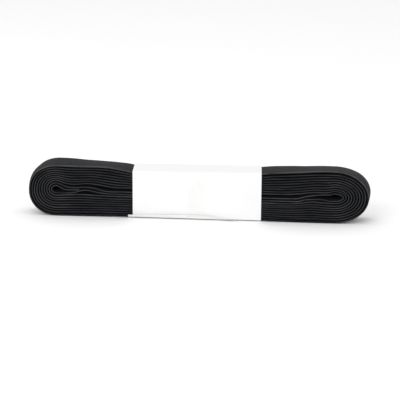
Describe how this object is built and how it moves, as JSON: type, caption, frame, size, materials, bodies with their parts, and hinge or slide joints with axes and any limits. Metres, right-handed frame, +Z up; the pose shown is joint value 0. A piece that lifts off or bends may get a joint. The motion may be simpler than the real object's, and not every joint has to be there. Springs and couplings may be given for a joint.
{
  "type": "flat-wound strap bundle",
  "caption": "Long flat bundle of one black woven webbing strap, folded edge-on and held by a white paper band that is closed with clear tape.",
  "frame": {"origin": "on the ground, under the middle of the bundle", "axes": "+X along the bundle, -Y towards the front where the paper band is lapped and taped, +Z up"},
  "size_m": [0.277, 0.026, 0.04],
  "materials": {
    "black_webbing": "matte woven",
    "white_paper": "matt uncoated",
    "clear_film": "glossy clear"
  },
  "bodies": {
    "bundle": {"strap": "black_webbing"},
    "paper_band": {"band_wrap": "white_paper"},
    "front_lap": {"band_lap": "white_paper", "clear_tape": "clear_film"}
  },
  "joints": [
    {"name": "band_slide", "type": "slide", "parent": "bundle", "child": "paper_band", "axis": [1, 0, 0], "range_m": [-0.2, 0.2]},
    {"name": "lap_hinge", "type": "hinge", "parent": "paper_band", "child": "front_lap", "pos_m": [-0.0018, -0.013, 0.00015], "axis": [1, 0, 0], "range_deg": [0, 90]}
  ]
}
